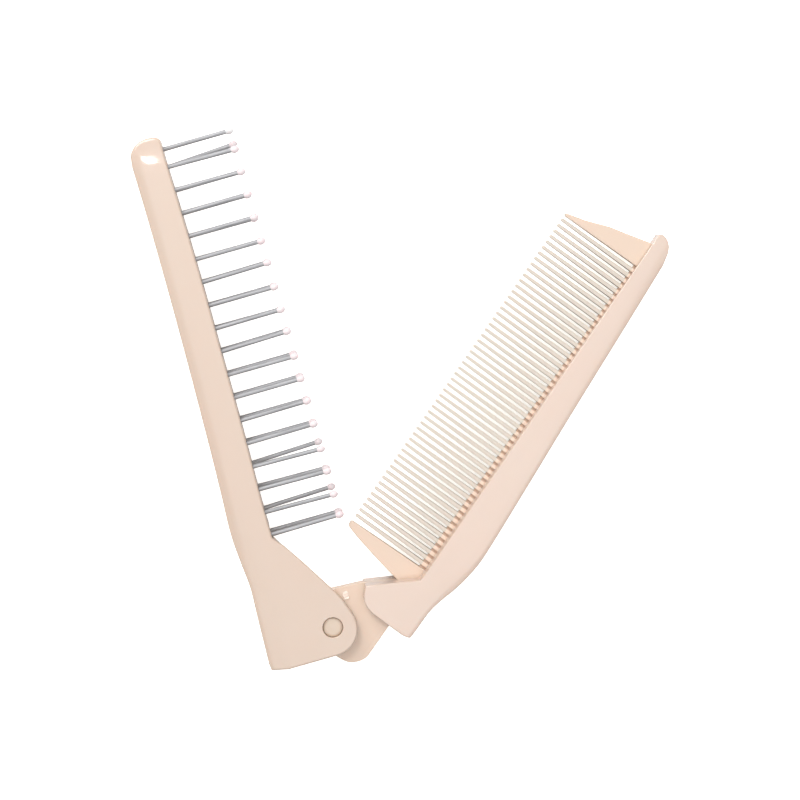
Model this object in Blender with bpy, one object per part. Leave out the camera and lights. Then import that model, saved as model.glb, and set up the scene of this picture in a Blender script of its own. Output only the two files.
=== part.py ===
# A pocket comb and brush that fold together about one hinge pin.
# It lies flat, half open. The origin is on the hinge's axis, in the plane of the underside.
# The brush arm runs along +Y with its bristles towards +X, and the comb arm turns about +Z.
# Every length is in metres.
import math

import bmesh
import bpy
from mathutils import Matrix, Vector

# Driving dimensions
THICKNESS = 0.0112
MIDDLE_Z = THICKNESS / 2
REST_ANGLE = math.radians(-50.66)
EDGE_ROUND = 0.00045
CUTTER_REACH = 0.020

# The hinge
HINGE_PIN_RADIUS = 0.0022
HINGE_PIN_SINK = 0.0006
HINGE_PIN_CHAMFER = 0.0003
CHEEK_FLOOR = 0.0014
PIN_HOLE_GAP = 0.00015
TONGUE_HOLE_GAP = 0.0002
ROUND_SIDES = 32

# The brush arm: the slot along its middle, and its rounded flange with a slanted wall that is drawn in below
SLOT_HEIGHT = 0.0032
SLOT_FLOOR_X = -0.01145
SLOT_END_Y = 0.1142
FLANGE_RADIUS = 0.0063
FLANGE_CENTRE = (-0.0007, -0.00033)
FLANGE_ARC_DEGREES = (-90, 18)
FLANGE_SLANT = [(0.00385, 0.00595), (0.00212, 0.00915), (-0.00240, 0.01665), (-0.00522, 0.02100)]
SLANT_DRAFT = 0.0011
SLANT_DRAFT_START = (0.0025, 0.0085)
SLANT_DRAFT_END = (0.0220, 0.0260)
SLANT_REACH = 0.0030

# The bristles: two rows of pins and one single pin near the tip
PAIR_COUNT = 17
PAIR_PITCH = 0.005466
FIRST_PAIR_Y = 0.02454
SINGLE_PIN_Y = 0.11616
ROW_SPACING = 0.0072
WIRE_RADIUS = 0.00052
SOCKET_RADIUS = 0.00068
SOCKET_LENGTH = 0.008
BALL_RADIUS = 0.00084
BALL_LENGTH = 0.0021
BALL_STEPS = 4
PIN_TIP_X = 0.0097
PIN_ROOT_X = -0.0098
SOCKET_FLOOR_X = -0.0101
WIRE_SIDES = 8

# The comb arm, along its own length (u) and towards its teeth (v)
TAPER_START_U = 0.030
TIP_U = 0.1182
TIP_INSET = 0.002
TIP_THICKNESS = 0.0048
SPINE_INNER_V = -0.0106
PLATE_THICKNESS = 0.0026
PLATE_GAP = 0.00014
PLATE_BACK_V = -0.0133
PLATE_END_U = 0.1151
PLATE_STEP_U = 0.0105
PLATE_SLOT_START_U = -0.010
TOOTH_COUNT = 55
FIRST_ROOT_U = 0.02366
ROOT_PITCH = 0.001554
FIRST_TIP_U = 0.02420
TIP_PITCH = 0.0015475
TOOTH_ROOT_WIDTH = 0.00100
TOOTH_TIP_WIDTH = 0.00062
TOOTH_SHOULDER_WIDTH = 0.00074
TOOTH_TIP_V = 0.01005
TOOTH_SHOULDER = 0.0009
TIP_THINNING = 0.45
GAP_END_LOW_V = -0.0092
GAP_END_HIGH_V = -0.01015

# The bar's outer edge, from the hinge end up to the tip (x, y)
BAR_OUTER_EDGE = [
    (-0.01650, -0.0040),
    (-0.01605, 0.0070),
    (-0.01575, 0.0142),
    (-0.01624, 0.0205),
    (-0.01661, 0.0275),
    (-0.01618, 0.0367),
    (-0.01579, 0.0459),
    (-0.01524, 0.0642),
    (-0.01485, 0.0826),
    (-0.01468, 0.1009),
    (-0.01475, 0.1140),
]
# The bar's rounded tip, its inner edge down to the flange, and the two corners of its hinge end (x, y)
BAR_TIP = [(-0.01440, 0.1167), (-0.01275, 0.1185), (-0.01040, 0.1193), (-0.00790, 0.1191), (-0.00695, 0.1182)]
BAR_INNER_EDGE = [
    (-0.00702, 0.1138),
    (-0.00681, 0.0980),
    (-0.00681, 0.0817),
    (-0.00701, 0.0654),
    (-0.00721, 0.0491),
    (-0.00752, 0.0383),
    (-0.00768, 0.0310),
    (-0.00765, 0.0240),
]
BAR_END_CORNERS = [(-0.01635, -0.00570), (-0.01240, -0.00655)]

# The spine's outline from above (u, v): its rounded end at the hinge, its back, its tip and its slanted shoulder
SPINE_END = [
    (0.01225, -0.00070),
    (0.01055, -0.00155),
    (0.00918, -0.00250),
    (0.00826, -0.00398),
    (0.00780, -0.00596),
]
SPINE_BACK = [
    (0.00754, -0.01430),
    (0.00782, -0.01580),
    (0.00885, -0.01638),
    (0.01522, -0.01650),
    (0.01895, -0.01721),
    (0.02268, -0.01830),
    (0.02641, -0.01910),
    (0.03105, -0.01965),
    (0.03699, -0.01955),
    (0.05383, -0.01863),
    (0.07399, -0.01747),
    (0.09243, -0.01655),
    (0.11239, -0.01550),
]
SPINE_TIP = [(0.1154, -0.0148), (0.1169, -0.0140), (0.1179, -0.0127), (0.1182, -0.0113), (0.1177, -0.0106)]
SHOULDER = [(0.02050, SPINE_INNER_V), (0.01640, -0.00562)]

# The plate's outline from above (u, v): the tongue, and the guard wedges at both ends of the teeth
TONGUE_BACK_V = -0.0112
TONGUE_CORNER = [(-0.00150, TONGUE_BACK_V), (-0.00277, -0.01077), (-0.00388, -0.00997), (-0.00499, -0.00866),
                 (-0.00549, -0.00705), (-0.00564, -0.00503)]
TONGUE_BOSS_RADIUS = 0.0062
TONGUE_BOSS_DEGREES = (75, 178)
TONGUE_SLANT = [(0.00560, 0.00590), (0.01215, -0.00016), (0.01262, -0.00115), (0.01640, -0.00562)]
LOW_WEDGE_OUTER = [(0.01715, -0.00653), (0.01875, 0.00111), (0.02011, 0.00675), (0.02102, 0.00967)]
LOW_WEDGE_INNER_U = 0.02260
LOW_WEDGE_TIP = [(LOW_WEDGE_INNER_U, 0.00967), (0.02233, TOOTH_TIP_V), (0.02132, TOOTH_TIP_V)]
HIGH_WEDGE_INNER_U = 0.10882
HIGH_WEDGE_OUTER = [(0.10957, 0.00947), (0.11065, 0.00534), (0.11272, -0.00030), (0.11367, -0.00443),
                    (0.11510, -0.01007)]
HIGH_WEDGE_TIP = [(0.10930, TOOTH_TIP_V), (0.10900, TOOTH_TIP_V), (HIGH_WEDGE_INNER_U, 0.00967)]
WEDGE_MARGIN = 0.0001

BODY_COLOUR = (0.84, 0.69, 0.59)
PLATE_COLOUR = (0.88, 0.66, 0.53)
WIRE_COLOUR = (0.46, 0.47, 0.49)


def plastic(name, colour, roughness):
    """A satin moulded plastic."""
    material = bpy.data.materials.new(name)
    material.use_nodes = True
    shader = material.node_tree.nodes["Principled BSDF"]
    shader.inputs["Base Color"].default_value = (*colour, 1.0)
    shader.inputs["Roughness"].default_value = roughness
    shader.inputs["Metallic"].default_value = 0.0
    return material


def steel(name, colour, roughness):
    """Drawn steel wire."""
    material = plastic(name, colour, roughness)
    material.node_tree.nodes["Principled BSDF"].inputs["Metallic"].default_value = 1.0
    return material


def arc(centre, radius, start_degrees, end_degrees, steps):
    """Points along an arc, both ends included."""
    points = []
    for step in range(steps + 1):
        angle = math.radians(start_degrees + (end_degrees - start_degrees) * step / steps)
        points.append((centre[0] + radius * math.cos(angle), centre[1] + radius * math.sin(angle)))
    return points


def smooth_edge(stations, steps):
    """A Catmull-Rom curve through the stations, with the given steps between two of them."""
    points = []
    for index in range(len(stations) - 1):
        before = Vector(stations[max(index - 1, 0)])
        start = Vector(stations[index])
        end = Vector(stations[index + 1])
        after = Vector(stations[min(index + 2, len(stations) - 1)])
        for step in range(steps):
            t = step / steps
            point = 0.5 * (
                2 * start
                + (end - before) * t
                + (2 * before - 5 * start + 4 * end - after) * t * t
                + (3 * start - before - 3 * end + after) * t * t * t
            )
            points.append((point.x, point.y))
    points.append(stations[-1])
    return points


def object_from(name, mesh_data, material, parent=None):
    """A named object for a finished bmesh."""
    mesh = bpy.data.meshes.new(name)
    mesh_data.to_mesh(mesh)
    mesh_data.free()
    mesh.materials.append(material)
    piece = bpy.data.objects.new(name, mesh)
    bpy.context.collection.objects.link(piece)
    piece.parent = parent
    return piece


def slab(outlines, bottom, top):
    """A flat plate with the outlines, which run anticlockwise seen from above and may share edges."""
    mesh_data = bmesh.new()
    for outline in outlines:
        ring = [mesh_data.verts.new((x, y, bottom)) for x, y in outline]
        mesh_data.faces.new(list(reversed(ring)))
    bmesh.ops.remove_doubles(mesh_data, verts=mesh_data.verts, dist=0.000001)
    lifted = bmesh.ops.extrude_face_region(mesh_data, geom=list(mesh_data.faces), use_keep_orig=True)
    moved = [item for item in lifted["geom"] if isinstance(item, bmesh.types.BMVert)]
    bmesh.ops.translate(mesh_data, verts=moved, vec=(0, 0, top - bottom))
    bmesh.ops.recalc_face_normals(mesh_data, faces=mesh_data.faces)
    return mesh_data


def round_rims(mesh_data, radius, segments):
    """Rounds the edges of both flat faces of a slab."""
    mesh_data.normal_update()
    rims = [edge for edge in mesh_data.edges
            if len(edge.link_faces) == 2 and any(abs(face.normal.z) > 0.9 for face in edge.link_faces)
            and any(abs(face.normal.z) < 0.5 for face in edge.link_faces)]
    bmesh.ops.bevel(mesh_data, geom=rims, offset=radius, segments=segments, affect="EDGES", profile=0.5,
                    material=-1, clamp_overlap=True)


def cylinder(mesh_data, radius, sides, centre, length, axis):
    """Adds a closed cylinder along an axis, starting at a centre point."""
    turn = Vector((0, 0, 1)).rotation_difference(Vector(axis)).to_matrix().to_4x4()
    place = Matrix.Translation(Vector(centre) + Vector(axis) * length / 2) @ turn
    bmesh.ops.create_cone(mesh_data, cap_ends=True, cap_tris=False, segments=sides, radius1=radius,
                          radius2=radius, depth=length, matrix=place)


def block(mesh_data, low, high):
    """Adds a closed box between two corners."""
    size = Vector(high) - Vector(low)
    middle = (Vector(high) + Vector(low)) / 2
    bmesh.ops.create_cube(mesh_data, size=1.0, matrix=Matrix.Translation(middle) @ Matrix.Diagonal((*size, 1.0)))


def cut(piece, cutter_name, cutter_mesh):
    """Cuts a bmesh out of a piece with an exact Boolean."""
    cutter = object_from(cutter_name, cutter_mesh, piece.data.materials[0], piece.parent)
    cutter.hide_render = True
    cutter.display_type = "WIRE"
    boolean = piece.modifiers.new(cutter_name, "BOOLEAN")
    boolean.operation = "DIFFERENCE"
    boolean.object = cutter


def pin_places():
    """The (y, z) place of each bristle pin: two rows, and the single pin last."""
    places = []
    for pair in range(PAIR_COUNT):
        for side in (1, -1):
            places.append((FIRST_PAIR_Y + pair * PAIR_PITCH, MIDDLE_Z + side * ROW_SPACING / 2))
    places.append((SINGLE_PIN_Y, MIDDLE_Z))
    return places


def ramp(place, start, end):
    """Goes straight from 0 at the start to 1 at the end."""
    return min(max((place - start) / (end - start), 0.0), 1.0)


def draw_in_slant(mesh_data):
    """Draws the flange's slanted wall in towards its lower edge."""
    start, end = Vector(FLANGE_SLANT[1]), Vector(BAR_INNER_EDGE[-1])
    inwards = Vector((start.y - end.y, end.x - start.x)).normalized()
    for vertex in mesh_data.verts:
        near = 1.0 - ramp((vertex.co.xy - start).dot(inwards), 0.0, SLANT_REACH)
        span = ramp(vertex.co.y, *SLANT_DRAFT_START) * (1.0 - ramp(vertex.co.y, *SLANT_DRAFT_END))
        vertex.co.xy += inwards * (SLANT_DRAFT * near * span * (1.0 - vertex.co.z / THICKNESS))
    mesh_data.normal_update()
    walls = [face for face in mesh_data.faces if abs(face.normal.z) < 0.999]
    bmesh.ops.triangulate(mesh_data, faces=walls)


def make_brush_arm(material):
    """The bar, its hinge flange, the slot along its middle and the sockets of the pins."""
    outline = (
        [BAR_END_CORNERS[1]]
        + arc(FLANGE_CENTRE, FLANGE_RADIUS, *FLANGE_ARC_DEGREES, 12)
        + FLANGE_SLANT
        + list(reversed(smooth_edge(BAR_INNER_EDGE, 2)))
        + list(reversed(BAR_TIP))
        + list(reversed(smooth_edge(BAR_OUTER_EDGE, 2)))
        + [BAR_END_CORNERS[0]]
    )
    mesh_data = slab([outline], 0.0, THICKNESS)
    round_rims(mesh_data, EDGE_ROUND, 2)
    draw_in_slant(mesh_data)
    arm = object_from("brush_arm", mesh_data, material)

    slot = bmesh.new()
    block(slot, (SLOT_FLOOR_X, -CUTTER_REACH, MIDDLE_Z - SLOT_HEIGHT / 2),
          (CUTTER_REACH, SLOT_END_Y, MIDDLE_Z + SLOT_HEIGHT / 2))
    cut(arm, "slot_cutter", slot)

    pivot = bmesh.new()
    cylinder(pivot, HINGE_PIN_RADIUS + PIN_HOLE_GAP, ROUND_SIDES, (0, 0, CHEEK_FLOOR), THICKNESS, (0, 0, 1))
    cut(arm, "pivot_cutter", pivot)

    sockets = bmesh.new()
    for y, z in pin_places():
        cylinder(sockets, SOCKET_RADIUS, WIRE_SIDES, (SOCKET_FLOOR_X, y, z), SOCKET_LENGTH, (1, 0, 0))
    cut(arm, "socket_cutter", sockets)
    return arm


def make_bristle_pin(number, y, z, material):
    """A straight wire that ends in a ball tip, spun about its own axis."""
    ball_start = PIN_TIP_X - BALL_LENGTH
    half = BALL_LENGTH / 2
    neck = math.asin(WIRE_RADIUS / BALL_RADIUS)
    profile = [(PIN_ROOT_X, 0.0), (PIN_ROOT_X, WIRE_RADIUS)]
    for step in range(BALL_STEPS):
        angle = neck + (math.pi - neck) * step / BALL_STEPS
        profile.append((ball_start + half - half * math.cos(angle), BALL_RADIUS * math.sin(angle)))
    profile.append((PIN_TIP_X, 0.0))
    mesh_data = bmesh.new()
    chain = [mesh_data.verts.new((x, radius, 0.0)) for x, radius in profile]
    edges = [mesh_data.edges.new(pair) for pair in zip(chain, chain[1:])]
    bmesh.ops.spin(mesh_data, geom=chain + edges, cent=(0, 0, 0), axis=(1, 0, 0), angle=math.tau,
                   steps=WIRE_SIDES, use_merge=True)
    bmesh.ops.remove_doubles(mesh_data, verts=mesh_data.verts, dist=0.00001)
    bmesh.ops.recalc_face_normals(mesh_data, faces=mesh_data.faces)
    pin = object_from(f"bristle_pin_{number:02d}", mesh_data, material)
    pin.location = (0.0, y, z)
    pin.data.shade_smooth()
    pin.data.set_sharp_from_angle(angle=math.radians(40))
    return pin


def make_hinge_pin(material):
    """The round pin, sunk below the upper cheek and standing on the lower cheek's floor."""
    bottom = CHEEK_FLOOR + PIN_HOLE_GAP
    mesh_data = bmesh.new()
    cylinder(mesh_data, HINGE_PIN_RADIUS, ROUND_SIDES, (0, 0, bottom), THICKNESS - HINGE_PIN_SINK - bottom,
             (0, 0, 1))
    top_rim = [edge for edge in mesh_data.edges if all(vertex.co.z > MIDDLE_Z for vertex in edge.verts)]
    bmesh.ops.bevel(mesh_data, geom=top_rim, offset=HINGE_PIN_CHAMFER, segments=1, affect="EDGES", profile=0.5,
                    material=-1)
    return object_from("hinge_pin", mesh_data, material)


def spine_half_thickness(u):
    """Half the spine's thickness at a place along it: full at the hinge, thinner to the tip."""
    return (THICKNESS + (TIP_THICKNESS - THICKNESS) * ramp(u, TAPER_START_U, TIP_U)) / 2


def make_comb_spine(material, hinge):
    """The comb's back: a tapering bar with a slot that the plate is pushed into."""
    inner_edge = [(TAPER_START_U + (TIP_U - TAPER_START_U - TIP_INSET) * step / 8, SPINE_INNER_V)
                  for step in range(8, -1, -1)]
    outline = SPINE_END + smooth_edge(SPINE_BACK, 2) + SPINE_TIP + inner_edge + SHOULDER
    mesh_data = slab([outline], -MIDDLE_Z, MIDDLE_Z)
    round_rims(mesh_data, EDGE_ROUND, 2)
    for vertex in mesh_data.verts:
        share = vertex.co.z / MIDDLE_Z
        vertex.co.z = MIDDLE_Z + share * spine_half_thickness(vertex.co.x)
    spine = object_from("comb_spine", mesh_data, material, hinge)

    slot = bmesh.new()
    half = PLATE_THICKNESS / 2 + PLATE_GAP
    block(slot, (PLATE_SLOT_START_U, PLATE_BACK_V - PLATE_GAP, MIDDLE_Z - half),
          (PLATE_END_U + PLATE_GAP, CUTTER_REACH, MIDDLE_Z + half))
    cut(spine, "plate_slot_cutter", slot)
    return spine


def gap_end(u):
    """How deep the gaps between the teeth reach, at a place along the comb (v)."""
    return GAP_END_LOW_V + (GAP_END_HIGH_V - GAP_END_LOW_V) * ramp(u, LOW_WEDGE_INNER_U, HIGH_WEDGE_INNER_U)


def tooth_outline(index):
    """One tooth from its right root to its left root, going round its tip (u, v)."""
    right = FIRST_ROOT_U + index * ROOT_PITCH + TOOTH_ROOT_WIDTH / 2
    left = right - TOOTH_ROOT_WIDTH
    tip = FIRST_TIP_U + index * TIP_PITCH
    return [
        (right, gap_end(right)),
        (tip + TOOTH_SHOULDER_WIDTH / 2, TOOTH_TIP_V - TOOTH_SHOULDER),
        (tip + TOOTH_TIP_WIDTH / 4, TOOTH_TIP_V),
        (tip - TOOTH_TIP_WIDTH / 4, TOOTH_TIP_V),
        (tip - TOOTH_SHOULDER_WIDTH / 2, TOOTH_TIP_V - TOOTH_SHOULDER),
        (left, gap_end(left)),
    ]


def make_comb_plate(material, hinge):
    """The thin plate in the comb's middle: hinge tongue, guard wedges and teeth."""
    teeth = [tooth_outline(index) for index in range(TOOTH_COUNT)]
    roots = []
    for tooth in reversed(teeth):
        roots += [tooth[0], tooth[-1]]
    outline = (
        [(PLATE_STEP_U, TONGUE_BACK_V), (PLATE_STEP_U, PLATE_BACK_V), (PLATE_END_U, PLATE_BACK_V)]
        + list(reversed(HIGH_WEDGE_OUTER))
        + HIGH_WEDGE_TIP
        + [(HIGH_WEDGE_INNER_U, GAP_END_HIGH_V)]
        + roots
        + [(LOW_WEDGE_INNER_U, GAP_END_LOW_V)]
        + LOW_WEDGE_TIP
        + list(reversed(LOW_WEDGE_OUTER))
        + list(reversed(TONGUE_SLANT))
        + arc((0.0, 0.0), TONGUE_BOSS_RADIUS, *TONGUE_BOSS_DEGREES, 7)
        + list(reversed(TONGUE_CORNER))
    )
    mesh_data = slab([outline] + teeth, -PLATE_THICKNESS / 2, PLATE_THICKNESS / 2)
    for vertex in mesh_data.verts:
        u, v, z = vertex.co
        in_teeth = LOW_WEDGE_INNER_U + WEDGE_MARGIN < u < HIGH_WEDGE_INNER_U - WEDGE_MARGIN
        share = ramp(v, gap_end(u), TOOTH_TIP_V) if in_teeth else 0.0
        vertex.co.z = MIDDLE_Z + z * (1.0 - (1.0 - TIP_THINNING) * share)
    plate = object_from("comb_plate", mesh_data, material, hinge)

    hole = bmesh.new()
    cylinder(hole, HINGE_PIN_RADIUS + TONGUE_HOLE_GAP, ROUND_SIDES, (0, 0, 0), THICKNESS, (0, 0, 1))
    cut(plate, "tongue_hole_cutter", hole)
    return plate


def build():
    for old in list(bpy.data.objects):
        bpy.data.objects.remove(old, do_unlink=True)
    body_plastic = plastic("moulded plastic", BODY_COLOUR, 0.42)
    plate_plastic = plastic("plate plastic", PLATE_COLOUR, 0.40)
    wire = steel("steel wire", WIRE_COLOUR, 0.35)

    hinge = bpy.data.objects.new("hinge", None)
    bpy.context.collection.objects.link(hinge)
    hinge.rotation_euler = (0.0, 0.0, REST_ANGLE + math.pi / 2)

    make_brush_arm(body_plastic)
    for number, (y, z) in enumerate(pin_places(), start=1):
        make_bristle_pin(number, y, z, wire)
    make_hinge_pin(body_plastic)
    make_comb_spine(body_plastic, hinge)
    make_comb_plate(plate_plastic, hinge)


build()
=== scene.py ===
import math

import bmesh
import bpy
from mathutils import Matrix, Vector


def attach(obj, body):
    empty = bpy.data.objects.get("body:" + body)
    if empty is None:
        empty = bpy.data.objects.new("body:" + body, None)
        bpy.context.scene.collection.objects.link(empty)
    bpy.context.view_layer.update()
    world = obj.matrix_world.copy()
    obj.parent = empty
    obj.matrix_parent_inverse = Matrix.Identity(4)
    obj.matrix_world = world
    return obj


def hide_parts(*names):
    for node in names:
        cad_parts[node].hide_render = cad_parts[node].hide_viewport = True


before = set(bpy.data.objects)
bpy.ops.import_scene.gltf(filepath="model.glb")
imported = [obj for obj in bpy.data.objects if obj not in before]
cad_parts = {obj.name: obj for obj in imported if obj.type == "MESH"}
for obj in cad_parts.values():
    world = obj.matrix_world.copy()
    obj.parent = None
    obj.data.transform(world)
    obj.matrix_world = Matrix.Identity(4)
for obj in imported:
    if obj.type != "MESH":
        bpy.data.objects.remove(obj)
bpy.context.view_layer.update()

# Camera
# A long lens looks almost straight down on the open brush. It stands half a metre up, over the upper part of
# the arms.
LENS_MM = 99.0
SENSOR_MM = 36.0
CAMERA_PLACE = Vector((0.00407, 0.09391, 0.51362))
CAMERA_RIGHT = Vector((0.95979, -0.27088, 0.0737))
CAMERA_UP = Vector((0.27626, 0.95802, -0.07664))

lens = bpy.data.cameras.new("camera")
lens.lens = LENS_MM
lens.sensor_width = SENSOR_MM
camera = bpy.data.objects.new("camera", lens)
bpy.context.collection.objects.link(camera)
camera_back = CAMERA_RIGHT.cross(CAMERA_UP).normalized()
camera_turn = Matrix((CAMERA_RIGHT, CAMERA_UP, camera_back)).transposed()
camera.matrix_world = Matrix.Translation(CAMERA_PLACE) @ camera_turn.to_4x4()
bpy.context.scene.camera = camera

# Studio
# A white table in a pale surround that darkens towards the horizon. A broad soft box hangs overhead, a bright
# key box stands high beyond the far end of the arms, and a wide far box stands lower behind it. Two small
# boxes high over the arms are there for the glint in the bar's tip.
FLOOR_SIZE = 3.0
FLOOR_WHITE = 0.92
FLOOR_GLOW = 0.76
FLOOR_GLOW_COLOUR = (1.0, 0.975, 0.925, 1.0)
ZENITH_STRENGTH = 0.59
HORIZON_STRENGTH = 0.34
HORIZON_TOP = 0.55
ARMS_MIDDLE = (0.03, 0.05, 0.0)


def sockets(shader, **values):
    """Sets a node's inputs, each named by its label with underscores for spaces."""
    for label, value in values.items():
        shader.inputs[label.replace("_", " ")].default_value = value


def new_material(name):
    """An empty node material: its tree, and its output node."""
    material = bpy.data.materials.new(name)
    material.use_nodes = True
    material.node_tree.nodes.clear()
    output = material.node_tree.nodes.new("ShaderNodeOutputMaterial")
    return material, material.node_tree, output


def table_top():
    """White card. To the camera it also glows, slightly warm, so that only the deepest shadow shows on it."""
    material, tree, output = new_material("white card")
    card = tree.nodes.new("ShaderNodeBsdfDiffuse")
    card.inputs["Color"].default_value = (FLOOR_WHITE, FLOOR_WHITE, FLOOR_WHITE, 1.0)
    glow = tree.nodes.new("ShaderNodeEmission")
    glow.inputs["Color"].default_value = FLOOR_GLOW_COLOUR
    sight = tree.nodes.new("ShaderNodeLightPath")
    strength = tree.nodes.new("ShaderNodeMath")
    strength.operation = "MULTIPLY"
    strength.inputs[1].default_value = FLOOR_GLOW
    both = tree.nodes.new("ShaderNodeAddShader")
    tree.links.new(sight.outputs["Is Camera Ray"], strength.inputs[0])
    tree.links.new(strength.outputs["Value"], glow.inputs["Strength"])
    tree.links.new(card.outputs["BSDF"], both.inputs[0])
    tree.links.new(glow.outputs["Emission"], both.inputs[1])
    tree.links.new(both.outputs["Shader"], output.inputs["Surface"])
    return material


floor_mesh = bmesh.new()
bmesh.ops.create_grid(floor_mesh, x_segments=1, y_segments=1, size=FLOOR_SIZE / 2)
floor_data = bpy.data.meshes.new("floor")
floor_mesh.to_mesh(floor_data)
floor_mesh.free()
floor_data.materials.append(table_top())
floor = bpy.data.objects.new("floor", floor_data)
bpy.context.collection.objects.link(floor)


def surround():
    """A pale sky, brightest overhead."""
    world = bpy.data.worlds.new("surround")
    world.use_nodes = True
    tree = world.node_tree
    sky = tree.nodes["Background"]
    direction = tree.nodes.new("ShaderNodeTexCoord")
    parts = tree.nodes.new("ShaderNodeSeparateXYZ")
    height = tree.nodes.new("ShaderNodeMapRange")
    sockets(height, From_Min=0.0, From_Max=HORIZON_TOP, To_Min=HORIZON_STRENGTH, To_Max=ZENITH_STRENGTH)
    tree.links.new(direction.outputs["Generated"], parts.inputs["Vector"])
    tree.links.new(parts.outputs["Z"], height.inputs["Value"])
    tree.links.new(height.outputs["Result"], sky.inputs["Strength"])
    sky.inputs["Color"].default_value = (1.0, 1.0, 1.0, 1.0)
    return world


def soft_box(name, place, target, wide, deep, radiance):
    """A rectangular light with an even face, turned towards a target."""
    data = bpy.data.lights.new(name, "AREA")
    data.shape = "RECTANGLE"
    data.size = wide
    data.size_y = deep
    data.energy = radiance * math.pi * wide * deep
    box = bpy.data.objects.new(name, data)
    bpy.context.collection.objects.link(box)
    box.location = place
    box.rotation_euler = (Vector(target) - Vector(place)).to_track_quat("-Z", "Y").to_euler()


bpy.context.scene.world = surround()
soft_box("overhead box", place=(0.12, -0.06, 0.90), target=(0.12, -0.06, 0.0),
         wide=0.50, deep=0.50, radiance=2.0)
soft_box("key box", place=(-0.11, 0.60, 0.95), target=ARMS_MIDDLE, wide=0.26, deep=0.26, radiance=17.0)
soft_box("far box", place=(-0.17, 0.80, 0.50), target=ARMS_MIDDLE, wide=0.60, deep=0.40, radiance=5.0)
soft_box("glint box", place=(-0.0400, 0.2350, 0.86), target=(-0.0120, 0.1145, 0.0),
         wide=0.0120, deep=0.070, radiance=95.0)
soft_box("faint glint box", place=(-0.0285, 0.2380, 0.86), target=(-0.0100, 0.1145, 0.0),
         wide=0.0070, deep=0.045, radiance=40.0)

bpy.context.scene.view_settings.view_transform = "Standard"

# Brush arm
# One injection-moulded bar of pale peach plastic that widens into a round hinge flange. A slot for the comb's
# teeth is moulded along its middle, the sockets of the bristles are drilled in its two inner lands, and its
# back edge is eased by a shallow flank behind a soft crease.
THICKNESS = 0.0112
MIDDLE_Z = THICKNESS / 2
MERGE_DISTANCE = 0.000002
CUT_SNAP = 0.0000005
CUT_REACH = 0.02
FLAT_NORMAL_Z = 0.9
WALL_NORMAL_Z = 0.5
EDGE_ROUND = 0.00045
EDGE_SEGMENTS = 5
SLOT_HEIGHT = 0.0032
SLOT_FLOOR_X = -0.01145
SLOT_END_Y = 0.1142
SLOT_EDGE_ROUND = 0.00018
SLOT_EDGE_ANGLE = 60
SLOT_LEVEL_SLACK = 0.00001
SLANT_DRAFT = 0.0011
# The share of the draft at places along the bar: (y, share).
SLANT_DRAFT_SPAN = [(0.0025, 0.0), (0.0085, 1.0), (0.0220, 1.0), (0.0260, 0.0)]
SLANT_REACH = 0.0030
FLANGE_RADIUS = 0.0063
FLANGE_CENTRE = (-0.0007, -0.00033)
FLANGE_SLANT = [(0.00385, 0.00595), (0.00212, 0.00915), (-0.00240, 0.01665), (-0.00522, 0.02100)]
BAR_OUTER_EDGE = [
    (-0.01650, -0.0040), (-0.01605, 0.0070), (-0.01575, 0.0142), (-0.01624, 0.0205), (-0.01661, 0.0275),
    (-0.01618, 0.0367), (-0.01579, 0.0459), (-0.01524, 0.0642), (-0.01485, 0.0826), (-0.01468, 0.1009),
    (-0.01475, 0.1140),
]
BAR_TIP = [(-0.01440, 0.1167), (-0.01275, 0.1185), (-0.01040, 0.1193), (-0.00790, 0.1191), (-0.00695, 0.1182)]
BAR_INNER_EDGE = [
    (-0.00702, 0.1138), (-0.00681, 0.0980), (-0.00681, 0.0817), (-0.00701, 0.0654), (-0.00721, 0.0491),
    (-0.00752, 0.0383), (-0.00768, 0.0310), (-0.00765, 0.0240),
]
BAR_END_CORNERS = [(-0.01635, -0.00570), (-0.01240, -0.00655)]
FLANK_DROP = 0.00014
FLANK_WIDTH_HINGE = 0.0050
FLANK_WIDTH_BAR = 0.0021
FLANK_CHANGE = (0.012, 0.030)
CREASE_SOFTNESS = 0.00030
CREASE_REACH = 4 * CREASE_SOFTNESS
EDGE_ROLL_WIDTH = 0.0008
EDGE_ROLL_DROP = 0.00020
TIP_DROP = 0.0005
TIP_DROP_START = 0.1115
TIP_TOP_Y = max(y for x, y in BAR_TIP)
# Where the faces get edge lines, so that they can bend: (start, end, step).
BAR_CUTS_ACROSS_X = (-0.0165, -0.0102, 0.0003)
BAR_CUTS_ALONG_Y = (-0.0060, TIP_DROP_START, 0.0025)
TIP_CUTS_ALONG_Y = (TIP_DROP_START, 0.1188, 0.0005)
PIVOT_RADIUS = 0.00235
PIVOT_FLOOR = 0.0014
PIVOT_MOUTH_ROUND = 0.00018
PIVOT_MOUTH_STEPS = 5
PIVOT_CUT_TOP = THICKNESS + 0.001
PIVOT_SIDES = 48
SOCKET_RADIUS = 0.00068
SOCKET_FLOOR_X = -0.0101
SOCKET_MOUTH = 0.00015
SOCKET_CUT_PAST = 0.0015
SOCKET_SIDES = 16
PAIR_COUNT = 17
PAIR_PITCH = 0.005466
FIRST_PAIR_Y = 0.02454
SINGLE_PIN_Y = 0.11616
ROW_SPACING = 0.0072


def arc(centre, radius, start_degrees, end_degrees, steps):
    """Points along an arc, both ends included."""
    points = []
    for step in range(steps + 1):
        angle = math.radians(start_degrees + (end_degrees - start_degrees) * step / steps)
        points.append((centre[0] + radius * math.cos(angle), centre[1] + radius * math.sin(angle)))
    return points


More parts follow.
